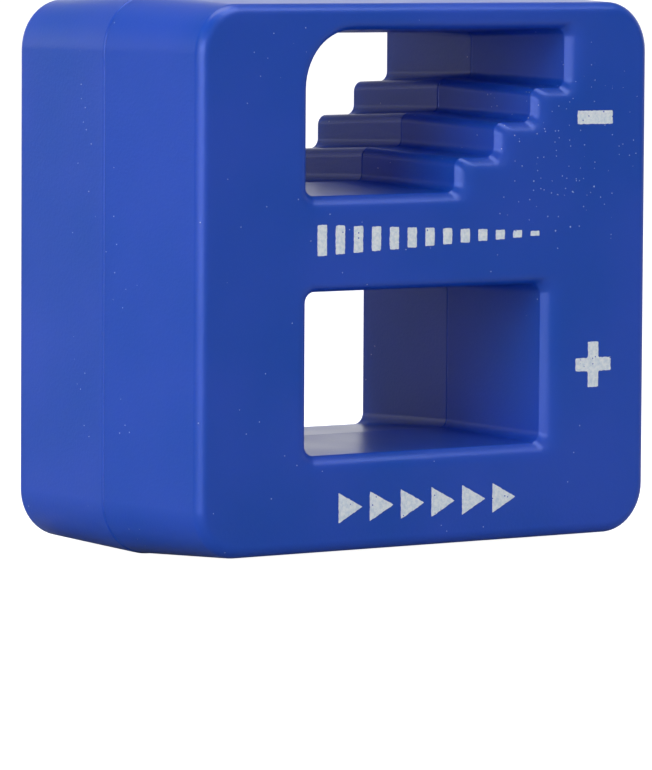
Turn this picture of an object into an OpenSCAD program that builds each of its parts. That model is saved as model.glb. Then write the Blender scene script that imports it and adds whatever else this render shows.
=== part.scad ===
// Screwdriver magnetizer and demagnetizer block.
// Two drafted shells meet at a parting line. A rectangular and a stepped opening run right through, and a
// ferrite magnet stands in a pocket on each side of the rectangular one.
// +X is to the right and +Z is up, seen from the front, which looks along -Y. The origin is at the middle
// of the base. Outline and opening sizes are those at the parting line, where the openings are tightest.

/* [Outline] */
// Width at the parting line
body_w = 52; // [46:0.5:64]
// Height at the parting line
body_h = 49.4; // [48:0.1:60]
// Depth from the front face to the rear face
body_d = 27.4; // [20:0.1:34]
// Distance of the parting line in front of the middle
parting_shift = 0.4; // [0:0.1:1.5]
// Corner radius of the outline
corner_r = 5; // [3.5:0.1:7]
// Rounding of the edge around each face
edge_r = 0.9; // [0.4:0.1:1.4]
// Draft angle of every wall that the mould opens along
draft = 2.5; // [0.5:0.1:3]

/* [Rectangular opening] */
// Width
slot_w = 25.6; // [16:0.1:28]
// Height
slot_h = 13.3; // [9:0.1:15]
// Height of its lower side above the base
slot_z = 9.7; // [8:0.1:12]
// Radius of its corners
slot_corner_r = 0.8; // [0.4:0.1:2]

/* [Stepped opening] */
// Width, from the side that it shares with the rectangular opening
stair_w = 28.2; // [22:0.1:31]
// Height, from its lowest floor to its ceiling
stair_h = 13.4; // [12:0.1:15]
// Plastic above its ceiling
top_web = 3.5; // [3:0.1:5]
// Number of treads above the floor
tread_count = 3; // [1:1:3]
// Run of the top tread, sideways
tread_run = 3.9; // [3:0.1:4.5]
// How much longer each tread is than the one above it
run_growth = 0.3; // [0:0.1:0.5]
// Rise of each tread
tread_rise = 3.05; // [2.4:0.05:3.4]
// Radius of its small corners
stair_corner_r = 0.3; // [0.2:0.1:0.5]
// Radius of the large corner across from the treads
stair_big_r = 4.6; // [2:0.1:6]

/* [Walls] */
// Thickness of the outer wall and of the faces
wall = 2; // [1.6:0.1:2.6]
// Thickness of the wall around each opening
liner_wall = 1.6; // [1.2:0.1:2]
// Rounding of the mouth of each opening
mouth_r = 0.8; // [0.3:0.1:1]

/* [Rim] */
// Thickness of the front shell's lip
lip_t = 0.9; // [0.6:0.1:1]
// Height of the lip past the parting line
lip_h = 1.2; // [0.8:0.1:2]
// Clearance around the lip
lip_gap = 0.1; // [0.05:0.05:0.2]

/* [Pins] */
// Radius of the locating pins
pin_r = 1.2; // [0.8:0.1:1.3]
// Length of the pins past the parting line
pin_len = 4; // [2:0.5:6]
// Clearance around a pin
pin_gap = 0.05; // [0.03:0.01:0.15]
// Radius of the bosses that carry the pins and the sockets
boss_r = 2.2; // [1.9:0.1:2.3]
// Distance of the lower pins from the middle
low_pin_x = 8.8; // [6:0.1:11]

/* [Magnets] */
// Height of each magnet
magnet_h = 20; // [14:0.5:24]
// Clearance between a magnet and its ribs
magnet_gap = 0.15; // [0.05:0.05:0.3]
// Adhesive thickness in front of a magnet, and the gap left behind it
end_gap = 0.6; // [0.4:0.1:1]
// Radius of the adhesive dabs
dab_r = 2.6; // [1.5:0.1:3]
// Thickness of the ribs under and over each magnet
rib_t = 1.2; // [0.8:0.1:1.4]
// Width of the crush bars beside each magnet
bar_w = 1.6; // [1:0.1:2.4]
// Least height of a crush bar
bar_h = 0.5; // [0.3:0.1:0.8]
// Distance that the ribs stop short of the parting line
rib_stop = 2.6; // [2.2:0.1:4]

/* [Printed marks] */
// Thickness of the ink
ink_t = 0.08; // [0.06:0.01:0.12]
// Height that the ink stands out of the face
ink_proud = 0.03; // [0.02:0.01:0.04]
// Length of the bars of the plus and the minus sign
sign_w = 4.2; // [3:0.1:5]
// Thickness of those bars
sign_bar = 1.3; // [0.8:0.1:1.6]
// Distance of the signs from the side of the outline
sign_inset = 7; // [5.5:0.1:7.5]
// Distance of the minus sign below the middle of the stepped opening
minus_drop = 0.8; // [0:0.1:2]
// Distance of the plus sign below the middle of the rectangular opening
plus_drop = 0.3; // [0:0.1:2]
// Height of the captions
caption_h = 2.8; // [2:0.1:3.2]
// Width of the upper caption, a row of shrinking bars
upper_caption_w = 25.2; // [20:0.1:30]
// Width of the lower caption, a row of equal arrowheads
lower_caption_w = 20.2; // [16:0.1:26]
// Gap between the stepped opening and its caption
upper_caption_gap = 3; // [2:0.1:3.4]
// Gap between the rectangular opening and its caption
lower_caption_gap = 3.8; // [2.4:0.1:4]
// Number of bars in the upper caption
bar_count = 13; // [9:1:15]
// Height of the last bar as a share of the first
last_bar_share = 0.2; // [0.15:0.05:0.5]
// Number of arrowheads in the lower caption
arrow_count = 6; // [4:1:7]

/* [Hidden] */
$fn = 64;

shell_blue = [0.13, 0.24, 0.62];
ferrite_grey = [0.16, 0.16, 0.17];
adhesive_amber = [0.80, 0.68, 0.42];
ink_white = [0.82, 0.87, 0.92];

slope = tan(draft);
// Facets of a rounded face edge
round_steps = 5;
// Signs of the four corners, counted from the upper right
corner_side = [[1, 1], [-1, 1], [-1, -1], [1, -1]];
// Length by which a cut runs past the surface that it leaves
over = 1;

parting_y = -parting_shift;
front_depth = body_d / 2 - parting_shift;
rear_depth = body_d / 2 + parting_shift;

slot_x0 = -slot_w / 2;
slot_z1 = slot_z + slot_h;
stair_x0 = slot_x0;
stair_x1 = stair_x0 + stair_w;
stair_z1 = body_h - top_web;
stair_z0 = stair_z1 - stair_h;
// Overlap of each tread's part of the opening with the one below it
tread_lap = 2;

// Each magnet fills the pocket between the side wall and the slot's wall, less the crush bars and clearances
pocket_room = body_w / 2 - wall - slot_w / 2 - liner_wall - 2 * slope * (rear_depth - wall);
magnet_t = pocket_room - 2 * (bar_h + magnet_gap);
magnet_d = body_d - 2 * wall - 2 * end_gap;
magnet_x = (body_w / 2 - wall + slot_w / 2 + liner_wall) / 2;
magnet_z = slot_z + slot_h / 2;
dab_z = magnet_h / 4;
// A dab doesn't spread past the sides of its magnet
dab_reach = min(dab_r, magnet_t / 2);
// The ribs start inside the walls that carry them
rib_x0 = slot_w / 2 + slope * rear_depth + liner_wall / 2;
rib_x1 = body_w / 2 - slope * rear_depth - wall / 2;
rib_z = magnet_h / 2 + magnet_gap;

// A boss bites this far into the walls beside it
boss_bite = 0.2;
high_pin_x = body_w / 2 - wall - boss_r + boss_bite;
high_pin_z = body_h - wall - boss_r + boss_bite;
low_pin_z = (wall + slot_z - liner_wall) / 2;
pin_places = [[-high_pin_x, high_pin_z], [high_pin_x, high_pin_z], [-low_pin_x, low_pin_z], [low_pin_x, low_pin_z]];
socket_spare = 0.5;

sign_x = body_w / 2 - sign_inset;
minus_z = (stair_z0 + stair_z1) / 2 - minus_drop;
plus_z = magnet_z - plus_drop;
upper_caption_z = stair_z0 - upper_caption_gap - caption_h / 2;
lower_caption_z = slot_z - lower_caption_gap - caption_h / 2;
// Share of a bar's or an arrowhead's pitch that is inked
bar_fill = 0.55;
arrow_fill = 0.8;

// ---- Drafted solids, in the mould's frame: x sideways, y up, z from the parting line to the face ----

// Side of a solid's outline, from the parting line up to the face: [distance from the middle, height] points.
// It leans in by the draft, or out if the solid widens, and turns into the face by a round of radius round_r.
function side_points(half, depth, round_r, below, widens) =
    let (lean = widens ? 1 : -1,
         mid_z = depth - round_r,
         mid_x = half + lean * (slope * mid_z + round_r / cos(draft)),
         first = widens ? 180 - draft : draft,
         arcs = round_r > 0 ? round_steps : 0)
    concat([[half, -below], [half, 0]],
           [for (k = [0:arcs]) let (t = first + (90 - first) * (arcs > 0 ? k / arcs : 1))
               [mid_x + round_r * cos(t), mid_z + round_r * sin(t)]],
           widens ? [[mid_x, depth + below]] : []);

module half_outline(half, depth, round_r, below, widens) {
    side = side_points(half, depth, round_r, below, widens);
    polygon(concat([[0, side[0][1]]], side, [[0, side[len(side) - 1][1]]]));
}

module full_outline(half, depth, round_r, below, widens) {
    side = side_points(half, depth, round_r, below, widens);
    polygon(concat(side, [for (k = [len(side) - 1:-1:0]) [-side[k][0], side[k][1]]]));
}

// A rounded rectangle from x0, y0 to x1, y1 at the parting line, drafted along z
module drafted(x0, x1, y0, y1, r, depth, round_r = 0, below = 0, widens = false) {
    w = x1 - x0;
    h = y1 - y0;
    translate([(x0 + x1) / 2, (y0 + y1) / 2, 0]) {
        translate([0, h / 2 - r, 0]) rotate([90, 0, 0]) linear_extrude(h - 2 * r)
            full_outline(w / 2, depth, round_r, below, widens);
        translate([r - w / 2, 0, 0]) rotate([90, 0, 90]) linear_extrude(w - 2 * r)
            full_outline(h / 2, depth, round_r, below, widens);
        for (k = [0:3])
            translate([corner_side[k][0] * (w / 2 - r), corner_side[k][1] * (h / 2 - r), 0])
                quarter_turn(k) half_outline(r, depth, round_r, below, widens);
    }
}

// A quarter of a revolved outline, for the corner number k, counted from the upper right
module quarter_turn(k) {
    rotate([0, 0, 90 * k]) rotate_extrude(angle = 90) children();
}

// The body's outline, moved in by inset, down to depth
module body_block(inset, depth, round_r = 0, below = 0) {
    drafted(inset - body_w / 2, body_w / 2 - inset, inset, body_h - inset, corner_r - inset,
            depth, round_r, below);
}

// The rectangular opening, or its wall's outside when grow is the wall's thickness
module slot_block(grow, depth, round_r = 0, below = 0) {
    drafted(slot_x0 - grow, slot_w / 2 + grow, slot_z - grow, slot_z1 + grow, slot_corner_r + grow,
            depth, round_r, below, true);
}

// Right end of the floor, for k = 0, and of each tread above it
function tread_x1(k) =
    let (n = tread_count - k) stair_x1 - n * tread_run - run_growth * n * (n - 1) / 2;
function tread_z0(k) = stair_z0 + k * tread_rise;

// The stepped opening, or its wall's outside when grow is the wall's thickness
module stair_block(grow, depth, round_r = 0, below = 0) {
    r = stair_corner_r + grow;
    big_r = stair_big_r + grow;
    difference() {
        for (k = [0:tread_count])
            drafted(k == 0 ? stair_x0 - grow : tread_x1(k - 1) - tread_lap - grow, tread_x1(k) + grow,
                    tread_z0(k) - grow, stair_z1 + grow, r, depth, round_r, below, true);
        translate([stair_x0 - grow + big_r, stair_z1 + grow - big_r, 0]) difference() {
            translate([-2 * big_r, 0, -below]) cube([2 * big_r, 2 * big_r, depth + 2 * below]);
            quarter_turn(1) half_outline(big_r, depth, round_r, below, true);
        }
    }
}

// ---- Shells ----

module place_front() {
    translate([0, parting_y, 0]) rotate([90, 0, 0]) children();
}

module place_rear() {
    translate([0, parting_y, 0]) mirror([0, 1, 0]) rotate([90, 0, 0]) children();
}

// Ribs over, under and beside one magnet, from the face up to the ribs' stop
module magnet_ribs(depth) {
    rib_len = depth - wall / 2 - rib_stop;
    for (sz = [-1, 1])
        translate([rib_x0, sz > 0 ? magnet_z + rib_z : magnet_z - rib_z - rib_t, rib_stop])
            cube([rib_x1 - rib_x0, rib_t, rib_len]);
    for (sz = [-1, 1], side = [-1, 1]) {
        near = magnet_x + side * (magnet_t / 2 + magnet_gap);
        far = side < 0 ? rib_x0 : rib_x1;
        translate([min(near, far), magnet_z + sz * dab_z - bar_w / 2, rib_stop])
            cube([abs(far - near), bar_w, rib_len]);
    }
}

module shell_half(depth) {
    difference() {
        union() {
            difference() {
                body_block(0, depth, edge_r);
                body_block(wall, depth - wall, 0, over);
            }
            slot_block(liner_wall, depth - wall / 2);
            stair_block(liner_wall, depth - wall / 2);
            for (side = [0, 1]) mirror([side, 0, 0]) magnet_ribs(depth);
            for (p = pin_places) translate([p[0], p[1], 0]) cylinder(h = depth - wall / 2, r = boss_r);
        }
        slot_block(0, depth, mouth_r, over);
        stair_block(0, depth, mouth_r, over);
    }
}

// A straight ring inside the body's outline, around the parting line
module rim_ring(outer_inset, inner_inset, z0, z1) {
    translate([0, 0, z0]) linear_extrude(z1 - z0) difference() {
        rim_outline(outer_inset);
        rim_outline(inner_inset);
    }
}

module rim_outline(inset) {
    r = corner_r - inset;
    for (sx = [-1, 1], y = [corner_r, body_h - corner_r])
        translate([sx * (body_w / 2 - corner_r), y]) circle(r = r);
    translate([inset - body_w / 2, corner_r]) square([body_w - 2 * inset, body_h - 2 * corner_r]);
    translate([corner_r - body_w / 2, inset]) square([body_w - 2 * corner_r, body_h - 2 * inset]);
}

module front_shell() {
    color(shell_blue) difference() {
        place_front() {
            shell_half(front_depth);
            rim_ring(wall - lip_t, wall, -lip_h, over);
            for (p = pin_places) translate([p[0], p[1], -pin_len]) cylinder(h = pin_len + over, r = pin_r);
        }
        front_marks();
    }
}

module rear_shell() {
    color(shell_blue) difference() {
        place_rear() difference() {
            shell_half(rear_depth);
            rim_ring(wall - lip_t - lip_gap, wall + lip_gap, -over, lip_h + lip_gap);
            for (p = pin_places) translate([p[0], p[1], -over])
                cylinder(h = over + pin_len + socket_spare, r = pin_r + pin_gap);
        }
        turn_to_rear() front_marks();
    }
}

// ---- Magnets and their adhesive ----

module magnet() {
    translate([magnet_x - magnet_t / 2, -magnet_d / 2, magnet_z - magnet_h / 2])
        cube([magnet_t, magnet_d, magnet_h]);
}

module magnet_adhesive() {
    for (sz = [-1, 1])
        translate([magnet_x, -magnet_d / 2, magnet_z + sz * dab_z]) rotate([90, 0, 0])
            cylinder(h = end_gap, r = dab_reach);
}

module left_magnet() { color(ferrite_grey) mirror([1, 0, 0]) magnet(); }
module right_magnet() { color(ferrite_grey) magnet(); }
module left_magnet_adhesive() { color(adhesive_amber) mirror([1, 0, 0]) magnet_adhesive(); }
module right_magnet_adhesive() { color(adhesive_amber) magnet_adhesive(); }

// ---- Printed marks ----

// Ink of the shape given, let into the front face and standing a little out of it
module front_ink() {
    translate([0, ink_t - ink_proud - body_d / 2, 0]) rotate([90, 0, 0]) linear_extrude(ink_t) children();
}

module turn_to_rear() { rotate([0, 0, 180]) children(); }

module sign_bar_shape(w, h) { square([w, h], center = true); }

module minus_shape() { translate([sign_x, minus_z]) sign_bar_shape(sign_w, sign_bar); }

module plus_shape() {
    translate([sign_x, plus_z]) {
        sign_bar_shape(sign_w, sign_bar);
        sign_bar_shape(sign_bar, sign_w);
    }
}

// Bars that shrink along the row, for a field that dies away
module upper_caption_shape() {
    pitch = upper_caption_w / (bar_count - 1 + bar_fill);
    w = pitch * bar_fill;
    for (k = [0:bar_count - 1]) {
        h = caption_h * (1 - (1 - last_bar_share) * k / (bar_count - 1));
        translate([(w - upper_caption_w) / 2 + k * pitch, upper_caption_z]) square([w, h], center = true);
    }
}

// Equal arrowheads that all point one way, for a field that is lined up
module lower_caption_shape() {
    pitch = lower_caption_w / (arrow_count - 1 + arrow_fill);
    w = pitch * arrow_fill;
    for (k = [0:arrow_count - 1])
        translate([k * pitch - lower_caption_w / 2, lower_caption_z])
            polygon([[0, -caption_h / 2], [w, 0], [0, caption_h / 2]]);
}

module front_marks() {
    front_ink() {
        minus_shape();
        plus_shape();
        upper_caption_shape();
        lower_caption_shape();
    }
}

module front_minus_mark() { color(ink_white) front_ink() minus_shape(); }
module front_plus_mark() { color(ink_white) front_ink() plus_shape(); }
module front_upper_caption() { color(ink_white) front_ink() upper_caption_shape(); }
module front_lower_caption() { color(ink_white) front_ink() lower_caption_shape(); }
module rear_minus_mark() { turn_to_rear() front_minus_mark(); }
module rear_plus_mark() { turn_to_rear() front_plus_mark(); }
module rear_upper_caption() { turn_to_rear() front_upper_caption(); }
module rear_lower_caption() { turn_to_rear() front_lower_caption(); }

front_shell();
rear_shell();
left_magnet();
right_magnet();
left_magnet_adhesive();
right_magnet_adhesive();
front_minus_mark();
front_plus_mark();
front_upper_caption();
front_lower_caption();
rear_minus_mark();
rear_plus_mark();
rear_upper_caption();
rear_lower_caption();
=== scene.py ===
"""Looks of a screwdriver magnetizer and demagnetizer block.

Two moulded shells meet at a parting line. Each is rebuilt as a smooth mesh with rounded edges and flared mouths,
hollow inside, with its ribs, bosses, pins and lip. Ink marks are printed on both faces. Sizes are in millimetres
and become metres where vertices are made. u runs to the right seen from the front, v runs up, and w runs from
the parting plane out to a face.
"""

import math
from collections import namedtuple

import bmesh
import bpy
from mathutils import Matrix, Vector, noise


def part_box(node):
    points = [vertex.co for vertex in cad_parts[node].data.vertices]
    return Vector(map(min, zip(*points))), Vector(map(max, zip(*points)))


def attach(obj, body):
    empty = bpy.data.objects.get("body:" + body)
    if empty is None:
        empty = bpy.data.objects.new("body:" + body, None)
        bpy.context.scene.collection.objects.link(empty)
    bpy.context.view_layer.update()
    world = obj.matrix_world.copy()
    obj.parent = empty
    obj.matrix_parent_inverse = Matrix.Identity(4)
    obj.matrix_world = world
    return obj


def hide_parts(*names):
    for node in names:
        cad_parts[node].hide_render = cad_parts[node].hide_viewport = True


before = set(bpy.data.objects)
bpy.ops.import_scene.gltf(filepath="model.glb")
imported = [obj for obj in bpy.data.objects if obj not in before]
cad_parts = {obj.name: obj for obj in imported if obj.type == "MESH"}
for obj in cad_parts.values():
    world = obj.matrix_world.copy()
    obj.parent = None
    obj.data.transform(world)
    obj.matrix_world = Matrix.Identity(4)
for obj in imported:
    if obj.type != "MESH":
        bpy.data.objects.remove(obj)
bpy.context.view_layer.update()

MM = 0.001

# ---- Sizes that the frame's boxes don't give, in millimetres ----

DRAFT = math.tan(math.radians(2.5))
CORNER_R = 5.0
EDGE_IN_FACE = 1.0
EDGE_IN_DEPTH = 0.9
# How far the flare at a mouth runs in the face, by the side's outward direction
MOUTH_REACH = {(-1, 0): 1.6, (1, 0): 2.8, (0, -1): 2.0, (0, 1): 1.05}
# A flare is a slope that fades into the face, with a tight arc between it and the tunnel's wall. Its span sets
# how steep it is, and the reach of each side stretches it.
FLARE_SPAN = 2.6
FLARE_DEPTH = 0.75
FLARE_FADE = 4
RIM_R = 0.22
# Share of a mouth's growth that its corners' radii take. On the treads, a corner's and a nose's radius together
# stay under the rise at the face, or the outline folds over itself.
MOUTH_FOLLOW = 0.45
# The rear shell stands a little proud of the front one, and its edge at the parting line is rounder
FRONT_SEAM_R = 0.05
REAR_SEAM_R = 0.24
MOULD_MISMATCH = 0.08

SLOT_LOW = (-12.8, 9.7)
SLOT_HIGH = (12.8, 23.0)
SLOT_CORNER_R = 0.8
STAIR_LOW = (-12.8, 32.5)
STAIR_TOP = 45.9
TREAD_RISE = 3.05
TREAD_ENDS = (2.8, 7.3, 11.5, 15.4)
STAIR_CORNER_R = 0.65
STAIR_NOSE_R = 0.9
STAIR_BIG_R = 4.6

WALL = 2.0
LINER = 1.6
LIP_T = 0.9
LIP_H = 1.2
LIP_GAP = 0.1
PIN_R = 1.2
PIN_LENGTH = 4.0
PIN_GAP = 0.05
SOCKET_SPARE = 0.5
BOSS_R = 2.2
PIN_PLACES = ((-22.0, 45.4), (22.0, 45.4), (-8.8, 5.05), (8.8, 5.05))
RIB_T = 1.2
RIB_STOP = 2.6
RIB_GAP = 0.15
CRUSH_BAR_W = 1.6
CRUSH_BAR_SHARES = (0.25, 0.75)
# Length by which a cut runs past the surface that it leaves
OVER = 1.0

INK_SUNK = 0.01
SIGN_BAR = 1.3
BAR_COUNT = 13
BAR_FILL = 0.55
LAST_BAR_SHARE = 0.2
ARROW_COUNT = 6
ARROW_FILL = 0.8

ARC_STEPS = 8
WIDE_ARC_STEPS = 14
BLEND_STEPS = 10
RIM_STEPS = 5
SEAM_STEPS = 3
ROD_SIDES = 32
SHARP_ANGLE = 35
LARGE_FACES_FIRST = 100

# ---- Sizes from the frame ----


def box_mm(node):
    low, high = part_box(node)
    return low / MM, high / MM


FRONT_LOW, FRONT_HIGH = box_mm("front_shell")
REAR_LOW, REAR_HIGH = box_mm("rear_shell")
HALF_W = FRONT_HIGH.x
HEIGHT = FRONT_HIGH.z
PARTING_Y = REAR_LOW.y


class Half:
    """One shell's place: which way its face looks, how far that is from the parting plane, how much smaller its
    outline is than the other shell's, and the round of its edge at the parting line."""

    def __init__(self, name, side, face_y, mismatch, seam_r):
        self.name = name
        self.side = side
        self.depth = abs(face_y - PARTING_Y)
        self.mismatch = mismatch
        self.seam_r = seam_r

    def point(self, u, v, w):
        return Vector((u, PARTING_Y + self.side * w, v)) * MM


FRONT = Half("front", -1, FRONT_LOW.y, MOULD_MISMATCH, FRONT_SEAM_R)
REAR = Half("rear", 1, REAR_HIGH.y, 0, REAR_SEAM_R)

# ---- Outlines: corners counterclockwise ----

# follow is how much of a side's move outward the corner's radius takes with it
Corner = namedtuple("Corner", "u v radius follow steps")


def rectangle(low, high, radius, follow, steps):
    (u0, v0), (u1, v1) = low, high
    return [Corner(u, v, radius, follow, steps) for u, v in ((u0, v0), (u1, v0), (u1, v1), (u0, v1))]


def body_outline():
    return rectangle((-HALF_W, 0), (HALF_W, HEIGHT), CORNER_R, 1, WIDE_ARC_STEPS)


def slot_outline():
    return rectangle(SLOT_LOW, SLOT_HIGH, SLOT_CORNER_R, MOUTH_FOLLOW, ARC_STEPS)


def stair_outline():
    u0, v0 = STAIR_LOW
    inner = (STAIR_CORNER_R, MOUTH_FOLLOW, ARC_STEPS)
    corners = [Corner(u0, v0, *inner)]
    for k, end in enumerate(TREAD_ENDS):
        tread_v = v0 + k * TREAD_RISE
        if k > 0:
            corners.append(Corner(TREAD_ENDS[k - 1], tread_v, STAIR_NOSE_R, 0, ARC_STEPS))
        corners.append(Corner(end, tread_v, *inner))
    corners.append(Corner(TREAD_ENDS[-1], STAIR_TOP, *inner))
    corners.append(Corner(u0, STAIR_TOP, STAIR_BIG_R, 1, WIDE_ARC_STEPS))
    return corners


def heading(a, b):
    """Unit direction from corner a to corner b. Every side runs along u or v."""
    du, dv = b.u - a.u, b.v - a.v
    length = abs(du) + abs(dv)
    return round(du / length), round(dv / length)


def grown_loop(outline, growth):
    """Points of the outline with each side moved outward by growth(side's outward direction)."""
    points = []
    count = len(outline)
    for k, corner in enumerate(outline):
        came, goes = heading(outline[k - 1], corner), heading(corner, outline[(k + 1) % count])
        before, after = growth((came[1], -came[0])), growth((goes[1], -goes[0]))
        u = corner.u + before * came[1] + after * goes[1]
        v = corner.v - before * came[0] - after * goes[0]
        r = corner.radius + corner.follow * (before + after) / 2
        centre_u, centre_v = u + r * (goes[0] - came[0]), v + r * (goes[1] - came[1])
        for step in range(corner.steps + 1):
            t = math.pi / 2 * step / corner.steps
            s, c = r * math.sin(t), r * math.cos(t)
            points.append((centre_u - goes[0] * c + came[0] * s, centre_v - goes[1] * c + came[1] * s))
    return points


# ---- Profiles: how far an outline has moved in or out at each distance w from the parting plane ----


def even(distance):
    """The same growth for every side."""
    return lambda outward: distance


def seam_arc(radius):
    """The small round at the parting line, as (w, cut) pairs."""
    for step in range(SEAM_STEPS + 1):
        t = math.pi / 2 * step / SEAM_STEPS
        yield radius * (1 - math.cos(t)), radius * (1 - math.sin(t))


def edge_turn():
    """The round between a side and a face: (depth below the face, share of the reach) from the side on."""
    for step in range(BLEND_STEPS + 1):
        t = math.pi / 2 * step / BLEND_STEPS
        yield EDGE_IN_DEPTH * (1 - math.sin(t)), 1 - math.cos(t)


def mouth_turn():
    """The flare between a tunnel's wall and a face, in the same terms."""
    tilt = math.atan(FLARE_DEPTH * FLARE_FADE / FLARE_SPAN)
    rim_span = RIM_R * (1 - math.sin(tilt))
    span = rim_span + FLARE_SPAN
    for step in range(RIM_STEPS):
        turned = math.pi / 2 + (tilt - math.pi / 2) * step / RIM_STEPS
        yield FLARE_DEPTH + RIM_R * (math.cos(tilt) - math.cos(turned)), RIM_R * (1 - math.sin(turned)) / span
    for step in range(BLEND_STEPS + 1):
        t = step / BLEND_STEPS
        yield FLARE_DEPTH * (1 - t) ** FLARE_FADE, (rim_span + FLARE_SPAN * t) / span


def wall_levels(half, sign, reach, turn, start=0.0):
    """(w, growth) from the parting line to the face, for a wall that leans by the draft and turns into the face.

    reach(outward) is how far that turn runs in the face on each side.
    """
    levels = [(w, even(sign * (start + cut + DRAFT * w))) for w, cut in seam_arc(half.seam_r)]
    for below, share in turn:
        w = half.depth - below
        levels.append((w, lambda outward, w=w, share=share: sign * (start + DRAFT * w + share * reach(outward))))
    return levels


# ---- Mesh building ----


def ring(bm, half, outline, growth, w):
    return [bm.verts.new(half.point(u, v, w)) for u, v in grown_loop(outline, growth)]


def skin(bm, rings):
    for lower, upper in zip(rings, rings[1:]):
        count = len(lower)
        for k in range(count):
            after = (k + 1) % count
            bm.faces.new((lower[k], lower[after], upper[after], upper[k]))


def cap(bm, loops):
    """Fills the plane region between the first loop and the others."""
    edges = []
    for loop in loops:
        edges += [bm.edges.get((loop[k - 1], loop[k])) for k in range(len(loop))]
    bmesh.ops.triangle_fill(bm, use_beauty=True, edges=edges)


def stack(bm, half, outline, levels):
    rings = [ring(bm, half, outline, growth, w) for w, growth in levels]
    skin(bm, rings)
    return rings[0], rings[-1]


def new_object(name, bm):
    bmesh.ops.recalc_face_normals(bm, faces=bm.faces)
    mesh = bpy.data.meshes.new(name)
    bm.to_mesh(mesh)
    bm.free()
    obj = bpy.data.objects.new(name, mesh)
    bpy.context.scene.collection.objects.link(obj)
    return obj


def solid(half, outline, levels):
    """A closed solid between the first and the last of the (w, distance) levels."""
    bm = bmesh.new()
    for end in stack(bm, half, outline, [(w, even(distance)) for w, distance in levels]):
        cap(bm, [end])
    return new_object("solid", bm)


def block(low, high):
    bm = bmesh.new()
    bmesh.ops.create_cube(bm, size=1)
    size = high - low
    bmesh.ops.transform(bm, verts=bm.verts, matrix=Matrix.LocRotScale((low + high) / 2, None, size))
    return new_object("block", bm)


def rod(half, place, radius, w0, w1):
    """A round rod, square to the parting plane."""
    bm = bmesh.new()
    turn = Matrix.Rotation(math.pi / 2, 4, "X")
    middle = half.point(*place, (w0 + w1) / 2)
    bmesh.ops.create_cone(bm, cap_ends=True, segments=ROD_SIDES, radius1=radius * MM, radius2=radius * MM,
                          depth=(w1 - w0) * MM, matrix=Matrix.Translation(middle) @ turn)
    return new_object("rod", bm)


def combine(target, tools, operation):
    """Cuts the tools from the target, or joins them to it, and deletes them."""
    for tool in tools:
        modifier = target.modifiers.new("combine", "BOOLEAN")
        modifier.object = tool
        modifier.operation = operation
        modifier.solver = "EXACT"
        depsgraph = bpy.context.evaluated_depsgraph_get()
        mesh = bpy.data.meshes.new_from_object(target.evaluated_get(depsgraph))
        target.modifiers.remove(modifier)
        target.data = mesh
        bpy.data.objects.remove(tool)
    return target


# ---- Shells ----


def shell_blank(half):
    """The shell before it is hollowed: body, both tunnels, rounded edges and flared mouths."""
    bm = bmesh.new()
    edge = wall_levels(half, -1, even(EDGE_IN_FACE), edge_turn(), half.mismatch)
    mouth = wall_levels(half, 1, MOUTH_REACH.get, mouth_turn())
    ends = [stack(bm, half, body_outline(), edge)]
    ends += [stack(bm, half, outline, mouth) for outline in (slot_outline(), stair_outline())]
    cap(bm, [end[0] for end in ends])
    cap(bm, [end[1] for end in ends])
    return new_object(half.name + "_shell_body", bm)


def magnet_ribs(half):
    """Ribs over and under each magnet, and crush bars beside it, from the face's inside up to the ribs' stop."""
    ribs = []
    near_face = half.depth - WALL / 2
    wide = SLOT_HIGH[0] + DRAFT * half.depth + LINER / 2, HALF_W - DRAFT * half.depth - WALL / 2
    for node, sign in (("left_magnet", -1), ("right_magnet", 1)):
        low, high = box_mm(node)
        inner = min(abs(low.x), abs(high.x)) - RIB_GAP
        outer = max(abs(low.x), abs(high.x)) + RIB_GAP
        spans = [(*wide, high.z + RIB_GAP, high.z + RIB_GAP + RIB_T),
                 (*wide, low.z - RIB_GAP - RIB_T, low.z - RIB_GAP)]
        for share in CRUSH_BAR_SHARES:
            v = low.z + (high.z - low.z) * share
            spans.append((wide[0], inner, v - CRUSH_BAR_W / 2, v + CRUSH_BAR_W / 2))
            spans.append((outer, wide[1], v - CRUSH_BAR_W / 2, v + CRUSH_BAR_W / 2))
        for u0, u1, v0, v1 in spans:
            a, b = half.point(sign * u0, v0, RIB_STOP), half.point(sign * u1, v1, near_face)
            ribs.append(block(Vector(map(min, a, b)), Vector(map(max, a, b))))
    return ribs


def cavity(half):
    """The hollow of a shell: the body's inside, less the tunnel walls, bosses and magnet ribs."""
    floor = half.depth - WALL
    past = floor + OVER
    hollow = solid(half, body_outline(), [(-OVER, -WALL), (0, -WALL), (floor, -WALL - DRAFT * floor)])
    lined = [(-2 * OVER, LINER), (0, LINER), (past, LINER + DRAFT * past)]
    keep = [solid(half, slot_outline(), lined), solid(half, stair_outline(), lined)]
    keep += [rod(half, place, BOSS_R, -2 * OVER, past) for place in PIN_PLACES]
    keep += magnet_ribs(half)
    return combine(hollow, keep, "DIFFERENCE")


def rim(half, outer_inset, inner_inset, w0, w1):
    outer = solid(half, body_outline(), [(w0, -outer_inset), (w1, -outer_inset)])
    inner = solid(half, body_outline(), [(w0 - OVER, -inner_inset), (w1 + OVER, -inner_inset)])
    return combine(outer, [inner], "DIFFERENCE")


def front_shell():
    shell = combine(shell_blank(FRONT), [cavity(FRONT)], "DIFFERENCE")
    pins = [rod(FRONT, place, PIN_R, -PIN_LENGTH, OVER) for place in PIN_PLACES]
    return combine(shell, [rim(FRONT, WALL - LIP_T, WALL, -LIP_H, OVER), *pins], "UNION")


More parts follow.
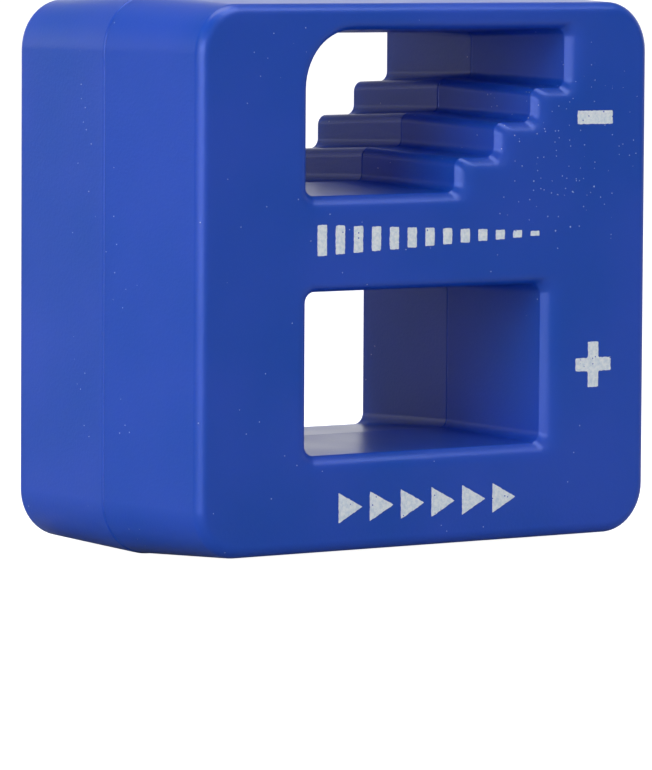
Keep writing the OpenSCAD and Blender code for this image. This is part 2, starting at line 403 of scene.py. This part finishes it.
def rear_shell():
    shell = combine(shell_blank(REAR), [cavity(REAR)], "DIFFERENCE")
    rebate = rim(REAR, WALL - LIP_T - LIP_GAP, WALL + LIP_GAP, -OVER, LIP_H + LIP_GAP)
    end = PIN_LENGTH + SOCKET_SPARE
    sockets = [rod(REAR, place, PIN_R + PIN_GAP, -OVER, end) for place in PIN_PLACES]
    return combine(shell, [rebate, *sockets], "DIFFERENCE")


def smooth(obj):
    """Smooth shading that keeps corners over the sharp angle, with flat faces kept flat."""
    for face in obj.data.polygons:
        face.use_smooth = True
    obj.data.set_sharp_from_angle(angle=math.radians(SHARP_ANGLE))
    weighted = obj.modifiers.new("weighted_normals", "WEIGHTED_NORMAL")
    weighted.keep_sharp = True
    weighted.weight = LARGE_FACES_FIRST


# ---- Printed marks ----

INK_STEP = 0.1
INK_WANDER = 0.09
# Wanderings per millimetre along an edge
INK_WANDER_SCALE = 3.2
INK_ROUNDS = 2


def bar_shape(u0, v0, u1, v1):
    return [(u0, v0), (u1, v0), (u1, v1), (u0, v1)]


def minus_shapes(u0, v0, u1, v1):
    return [bar_shape(u0, v0, u1, v1)]


def plus_shapes(u0, v0, u1, v1):
    uc, vc, h = (u0 + u1) / 2, (v0 + v1) / 2, SIGN_BAR / 2
    return [[(u0, vc - h), (uc - h, vc - h), (uc - h, v0), (uc + h, v0), (uc + h, vc - h), (u1, vc - h),
             (u1, vc + h), (uc + h, vc + h), (uc + h, v1), (uc - h, v1), (uc - h, vc + h), (u0, vc + h)]]


def shrinking_bars(u0, v0, u1, v1):
    pitch = (u1 - u0) / (BAR_COUNT - 1 + BAR_FILL)
    vc = (v0 + v1) / 2
    shapes = []
    for k in range(BAR_COUNT):
        half_h = (v1 - v0) / 2 * (1 - (1 - LAST_BAR_SHARE) * k / (BAR_COUNT - 1))
        u = u0 + k * pitch
        shapes.append(bar_shape(u, vc - half_h, u + pitch * BAR_FILL, vc + half_h))
    return shapes


def arrowheads(u0, v0, u1, v1):
    pitch = (u1 - u0) / (ARROW_COUNT - 1 + ARROW_FILL)
    vc = (v0 + v1) / 2
    return [[(u0 + k * pitch, v0), (u0 + (k + ARROW_FILL) * pitch, vc), (u0 + k * pitch, v1)]
            for k in range(ARROW_COUNT)]


def ragged(shape, seed):
    """The shape's outline in short steps, drawn in a little by a wandering amount, as printed ink ends."""
    points = []
    for a, b in zip(shape, shape[1:] + shape[:1]):
        steps = max(2, round(math.dist(a, b) / INK_STEP))
        points += [Vector(a).lerp(Vector(b), k / steps) for k in range(steps)]
    count = len(points)
    for _ in range(INK_ROUNDS):
        points = [(points[k - 1] + 2 * points[k] + points[(k + 1) % count]) / 4 for k in range(count)]
    moved = []
    for k, point in enumerate(points):
        along = points[(k + 1) % count] - points[k - 1]
        inward = Vector((-along.y, along.x)).normalized()
        wander = noise.noise(Vector((point.x, point.y, seed)) * INK_WANDER_SCALE)
        moved.append(point + inward * INK_WANDER * (1 + wander) / 2)
    return moved


def ink(name, node, shapes_of, half):
    """A printed mark that fills the node's box on the face, with ragged edges."""
    low, high = box_mm(node)
    ends = sorted((-half.side * low.x, -half.side * high.x))
    face_w = half.depth - INK_SUNK
    proud_w = max(abs(low.y - PARTING_Y), abs(high.y - PARTING_Y))
    bm = bmesh.new()
    for k, shape in enumerate(shapes_of(ends[0], low.z, ends[1], high.z)):
        outline = [(-half.side * p.x, p.y) for p in ragged(shape, k)]
        rings = [[bm.verts.new(half.point(u, v, w)) for u, v in outline] for w in (face_w, proud_w)]
        skin(bm, rings)
        for loop in rings:
            cap(bm, [loop])
    return new_object(name, bm)


MARKS = (("minus_mark", minus_shapes), ("plus_mark", plus_shapes),
         ("upper_caption", shrinking_bars), ("lower_caption", arrowheads))

# ---- Materials ----


class Shader:
    """A material's node tree, with a Principled shader and short calls to add nodes and link them."""

    def __init__(self, name):
        self.material = bpy.data.materials.new(name)
        self.material.use_nodes = True
        self.tree = self.material.node_tree
        self.principled = self.tree.nodes["Principled BSDF"]
        self.place = self.add("ShaderNodeTexCoord").outputs["Object"]

    def add(self, kind, settings=None, **values):
        node = self.tree.nodes.new(kind)
        for key, value in (settings or {}).items():
            setattr(node, key, value)
        for key, value in values.items():
            node.inputs[key.replace("_", " ")].default_value = value
        return node

    def link(self, output, target):
        self.tree.links.new(output, target)

    def noise(self, size_mm, detail=2.0, roughness=0.5, stretch=(1, 1, 1)):
        node = self.add("ShaderNodeTexNoise", Scale=1 / (size_mm * MM), Detail=detail, Roughness=roughness)
        self.link(self.stretched(stretch), node.inputs["Vector"])
        return node.outputs["Fac"]

    def stretched(self, stretch):
        """The place, with each axis multiplied by its stretch."""
        mapping = self.add("ShaderNodeMapping")
        mapping.inputs["Scale"].default_value = stretch
        self.link(self.place, mapping.inputs["Vector"])
        return mapping.outputs["Vector"]

    def nearness(self, place_mm, reach_mm):
        """1 at a place on the object, and 0 from the reach outward."""
        gap = self.add("ShaderNodeVectorMath", {"operation": "DISTANCE"})
        gap.inputs[1].default_value = Vector(place_mm) * MM
        self.link(self.place, gap.inputs[0])
        return self.span(gap.outputs["Value"], 0, reach_mm * MM, 1, 0)

    def span(self, value, from_low, from_high, to_low, to_high):
        node = self.add("ShaderNodeMapRange", From_Min=from_low, From_Max=from_high,
                        To_Min=to_low, To_Max=to_high)
        self.link(value, node.inputs["Value"])
        return node.outputs["Result"]

    def math(self, operation, a, b):
        node = self.add("ShaderNodeMath", {"operation": operation})
        for k, value in enumerate((a, b)):
            if isinstance(value, (int, float)):
                node.inputs[k].default_value = value
            else:
                self.link(value, node.inputs[k])
        return node.outputs["Value"]

    def colour_mix(self, factor, a, b):
        node = self.add("ShaderNodeMix", {"data_type": "RGBA"})
        self.link(factor, node.inputs[0])
        for socket, value in ((node.inputs[6], a), (node.inputs[7], b)):
            if isinstance(value, tuple):
                socket.default_value = (*value, 1)
            else:
                self.link(value, socket)
        return node.outputs[2]

    def bump(self, height, distance_mm, below=None):
        node = self.add("ShaderNodeBump", Strength=1.0, Distance=distance_mm * MM)
        self.link(height, node.inputs["Height"])
        if below is not None:
            self.link(below, node.inputs["Normal"])
        return node.outputs["Normal"]


BLUE = (0.018, 0.082, 0.55)
BLUE_DEEP = (0.008, 0.077, 0.50)
DUST = (0.55, 0.62, 0.85)
# Middle and reach of the dusty patch beside the treads, and how much of the plastic a speck hides
DUST_PLACE = (15.5, -13.7, 35)
DUST_REACH = 11
DUST_COVER = 0.9
INK_WHITE = (0.93, 0.97, 1.0)
INK_THIN = (0.7, 0.79, 0.9)


def dust_mask(shader, size_mm, spacing_mm, share, cluster, stretch=(1, 1, 1)):
    """Specks: one in each chosen cell of a Voronoi pattern, more of them where the cluster value is high."""
    cells = shader.add("ShaderNodeTexVoronoi", Scale=1 / (spacing_mm * MM), Randomness=1.0)
    shader.link(shader.stretched(stretch), cells.inputs["Vector"])
    near = shader.math("LESS_THAN", cells.outputs["Distance"], size_mm / spacing_mm)
    split = shader.add("ShaderNodeSeparateColor")
    shader.link(cells.outputs["Color"], split.inputs["Color"])
    chosen = shader.math("LESS_THAN", split.outputs["Red"], shader.math("MULTIPLY", cluster, share))
    return shader.math("MULTIPLY", near, chosen)


def settled_dust(shader):
    """Fine dust with denser patches, one of them beside the treads on the front, and a few short fibres."""
    patch = shader.nearness(DUST_PLACE, DUST_REACH)
    thin = shader.span(shader.noise(6, detail=1), 0.45, 0.7, 0.1, 1)
    masks = (dust_mask(shader, 0.055, 0.7, 0.25, thin), dust_mask(shader, 0.055, 0.42, 0.6, patch),
             dust_mask(shader, 0.09, 0.9, 0.4, patch), dust_mask(shader, 0.06, 2.4, 0.15, thin, (1, 1, 0.16)))
    total = masks[0]
    for mask in masks[1:]:
        total = shader.math("MAXIMUM", total, mask)
    return shader.math("MULTIPLY", total, DUST_COVER)


def shell_plastic():
    shader = Shader("moulded_blue_abs")
    principled = shader.principled
    cloud = shader.noise(14, detail=2)
    grain = shader.noise(0.3, detail=2)
    colour = shader.colour_mix(shader.span(cloud, 0.35, 0.65, 0, 1), BLUE_DEEP, BLUE)
    colour = shader.colour_mix(settled_dust(shader), colour, DUST)
    shader.link(colour, principled.inputs["Base Color"])
    shader.link(shader.span(cloud, 0.3, 0.7, 0.28, 0.35), principled.inputs["Roughness"])
    wave = shader.bump(shader.noise(5, detail=0), 0.02)
    shader.link(shader.bump(grain, 0.013, below=wave), principled.inputs["Normal"])
    principled.inputs["Subsurface Weight"].default_value = 0.2
    principled.inputs["Subsurface Radius"].default_value = (0.3, 0.4, 1.0)
    principled.inputs["Subsurface Scale"].default_value = 1.5 * MM
    principled.inputs["IOR"].default_value = 1.5
    return shader.material


def printed_ink():
    shader = Shader("printed_white_ink")
    principled = shader.principled
    mottle = shader.noise(0.35, detail=4, roughness=0.7)
    colour = shader.colour_mix(shader.span(mottle, 0.35, 0.6, 0, 1), INK_THIN, INK_WHITE)
    pits = dust_mask(shader, 0.07, 0.35, 0.3, shader.span(shader.noise(1.5), 0.3, 0.7, 0, 1))
    colour = shader.colour_mix(pits, colour, BLUE)
    shader.link(colour, principled.inputs["Base Color"])
    shader.link(shader.span(mottle, 0.3, 0.7, 0.75, 0.5), principled.inputs["Roughness"])
    shader.link(shader.bump(mottle, 0.01), principled.inputs["Normal"])
    return shader.material


def ferrite():
    shader = Shader("sintered_ferrite")
    principled = shader.principled
    grain = shader.noise(0.12, detail=4)
    colour = shader.colour_mix(shader.span(grain, 0.3, 0.7, 0, 1), (0.03, 0.03, 0.033), (0.07, 0.07, 0.075))
    shader.link(colour, principled.inputs["Base Color"])
    shader.link(shader.span(grain, 0.3, 0.7, 0.55, 0.8), principled.inputs["Roughness"])
    shader.link(shader.bump(shader.noise(0.3, stretch=(1, 12, 1)), 0.01), principled.inputs["Normal"])
    return shader.material


def cured_epoxy():
    shader = Shader("cured_epoxy")
    principled = shader.principled
    cloud = shader.noise(1.2, detail=3)
    colour = shader.colour_mix(shader.span(cloud, 0.3, 0.7, 0, 1), (0.45, 0.3, 0.1), (0.65, 0.5, 0.24))
    shader.link(colour, principled.inputs["Base Color"])
    shader.link(shader.span(cloud, 0.3, 0.7, 0.15, 0.35), principled.inputs["Roughness"])
    shader.link(shader.bump(cloud, 0.03), principled.inputs["Normal"])
    return shader.material


def dress(obj, material):
    obj.data.materials.clear()
    obj.data.materials.append(material)


def stand_for(piece, node, material):
    """The piece takes the CAD node's place, body and finish."""
    dress(piece, material)
    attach(piece, "root")
    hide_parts(node)


# ---- Camera, floor and lights ----

CAMERA_YAW = 37.71
CAMERA_PITCH = 4.279
CAMERA_ROLL = 0.327
CAMERA_DISTANCE = 562.232
CAMERA_TARGET = Vector((-0.942, 0, 14.122))
CAMERA_LENS = 290.94
FLOOR_R = 8000
FLOOR_SIDES = 96
FLOOR_GREY = 0.36
ROOM_LIGHT = 0.12
BACKDROP_LIGHT = 1.35
# The backdrop is behind the block, skewed to its right. It is full up to one height and faint above another.
BACKDROP_SKEW = 0.5
BACKDROP_FULL = 0.1
BACKDROP_FAINT = 0.5
FAINT_SHARE = 0.1
SHEEN_TINT = (0.8, 0.95, 1.5)
LIGHTS_AIM_Z = 0.025


def camera_axes(yaw, pitch):
    y, p = math.radians(yaw), math.radians(pitch)
    ahead = Vector((math.sin(y) * math.cos(p), math.cos(y) * math.cos(p), -math.sin(p)))
    right = Vector((math.cos(y), -math.sin(y), 0))
    return ahead, right, right.cross(ahead)


def make_camera():
    ahead, right, up = camera_axes(CAMERA_YAW, CAMERA_PITCH)
    roll = math.radians(CAMERA_ROLL)
    right, up = (right * math.cos(roll) + up * math.sin(roll)), (up * math.cos(roll) - right * math.sin(roll))
    data = bpy.data.cameras.new("camera")
    data.lens = CAMERA_LENS
    data.clip_start = 0.01
    data.clip_end = 100
    camera = bpy.data.objects.new("camera", data)
    camera.matrix_world = Matrix.Translation((CAMERA_TARGET - ahead * CAMERA_DISTANCE) * MM) @ Matrix(
        (right, up, -ahead)).transposed().to_4x4()
    bpy.context.scene.collection.objects.link(camera)
    bpy.context.scene.camera = camera


def make_floor():
    """A pale floor that is white to the camera."""
    bm = bmesh.new()
    bmesh.ops.create_circle(bm, cap_ends=True, segments=FLOOR_SIDES, radius=FLOOR_R * MM)
    floor = new_object("floor", bm)
    shader = Shader("pale_floor")
    shader.principled.inputs["Base Color"].default_value = (FLOOR_GREY, FLOOR_GREY, FLOOR_GREY, 1)
    shader.principled.inputs["Roughness"].default_value = 0.9
    shader.principled.inputs["Emission Color"].default_value = (1, 1, 1, 1)
    seen = shader.add("ShaderNodeLightPath").outputs["Is Camera Ray"]
    shader.link(seen, shader.principled.inputs["Emission Strength"])
    dress(floor, shader.material)


def soft_light(name, place, aim, size, power, tint=(1, 1, 1)):
    data = bpy.data.lights.new(name, "AREA")
    data.shape = "RECTANGLE"
    data.size, data.size_y = size
    data.energy = power
    data.color = tint
    light = bpy.data.objects.new(name, data)
    light.location = place
    light.rotation_mode = "QUATERNION"
    light.rotation_quaternion = (Vector(aim) - Vector(place)).to_track_quat("-Z", "Y")
    light.visible_camera = False
    bpy.context.scene.collection.objects.link(light)
    return light


def world_span(tree, value, *ends):
    """The value moved from the range of the first two ends to that of the last two."""
    node = tree.nodes.new("ShaderNodeMapRange")
    for name, number in zip(("From Min", "From Max", "To Min", "To Max"), ends):
        node.inputs[name].default_value = number
    tree.links.new(value, node.inputs["Value"])
    return node.outputs["Result"]


def make_world():
    """White to the camera. Its light is that of a dim room with a white backdrop low down behind the block."""
    world = bpy.data.worlds.new("white_room")
    bpy.context.scene.world = world
    world.use_nodes = True
    tree = world.node_tree
    background = tree.nodes["Background"]
    background.inputs["Color"].default_value = (1, 1, 1, 1)
    split = tree.nodes.new("ShaderNodeSeparateXYZ")
    tree.links.new(tree.nodes.new("ShaderNodeTexCoord").outputs["Generated"], split.inputs["Vector"])
    rightward = tree.nodes.new("ShaderNodeMath")
    rightward.operation = "MULTIPLY_ADD"
    tree.links.new(split.outputs["X"], rightward.inputs[0])
    rightward.inputs[1].default_value = BACKDROP_SKEW
    tree.links.new(split.outputs["Y"], rightward.inputs[2])
    behind = world_span(tree, rightward.outputs["Value"], 0.0, 1.0, 0, BACKDROP_LIGHT)
    low = world_span(tree, split.outputs["Z"], BACKDROP_FULL, BACKDROP_FAINT, 1, FAINT_SHARE)
    backdrop = tree.nodes.new("ShaderNodeMath")
    backdrop.operation = "MULTIPLY_ADD"
    tree.links.new(behind, backdrop.inputs[0])
    tree.links.new(low, backdrop.inputs[1])
    backdrop.inputs[2].default_value = ROOM_LIGHT
    seen = tree.nodes.new("ShaderNodeMix")
    tree.links.new(tree.nodes.new("ShaderNodeLightPath").outputs["Is Camera Ray"], seen.inputs["Factor"])
    tree.links.new(backdrop.outputs["Value"], seen.inputs["A"])
    seen.inputs["B"].default_value = 1
    tree.links.new(seen.outputs["Result"], background.inputs["Strength"])


def make_lights():
    """Soft lights at the left, above and in front, and two that only give the rounded edges their sheen.

    Places and sizes are in metres, and powers in watts.
    """
    middle = (0, 0, LIGHTS_AIM_Z)
    key = soft_light("key", (-0.92, -0.18, 0.25), middle, (0.6, 0.8), 7.8, (0.97, 1.02, 1.02))
    soft_light("top", (0.05, 0.1, 0.9), middle, (0.6, 0.6), 3.5)
    front = soft_light("front", (0.30, -0.95, 0.42), middle, (0.7, 0.7), 3.9)
    for broad in (key, front):
        broad.visible_glossy = False
    edge_sheen = soft_light("edge_sheen", (-0.64, -0.74, 0.18), middle, (0.9, 0.32), 4.2, SHEEN_TINT)
    upper_sheen = soft_light("upper_sheen", (0.33, -0.46, 0.82), middle, (0.5, 0.7), 4, SHEEN_TINT)
    for sheen in (edge_sheen, upper_sheen):
        sheen.visible_diffuse = False


# ---- Assembly ----


def make_object():
    plastic, print_white = shell_plastic(), printed_ink()
    for half, build in ((FRONT, front_shell), (REAR, rear_shell)):
        shell = build()
        shell.name = half.name + "_shell_moulding"
        smooth(shell)
        stand_for(shell, half.name + "_shell", plastic)
        for mark, shapes_of in MARKS:
            node = f"{half.name}_{mark}"
            stand_for(ink(node + "_ink", node, shapes_of, half), node, print_white)
    dark, amber = ferrite(), cured_epoxy()
    for side in ("left", "right"):
        dress(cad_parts[side + "_magnet"], dark)
        dress(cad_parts[side + "_magnet_adhesive"], amber)


make_object()
make_floor()
make_world()
make_lights()
make_camera()
bpy.context.scene.view_settings.view_transform = "Standard"
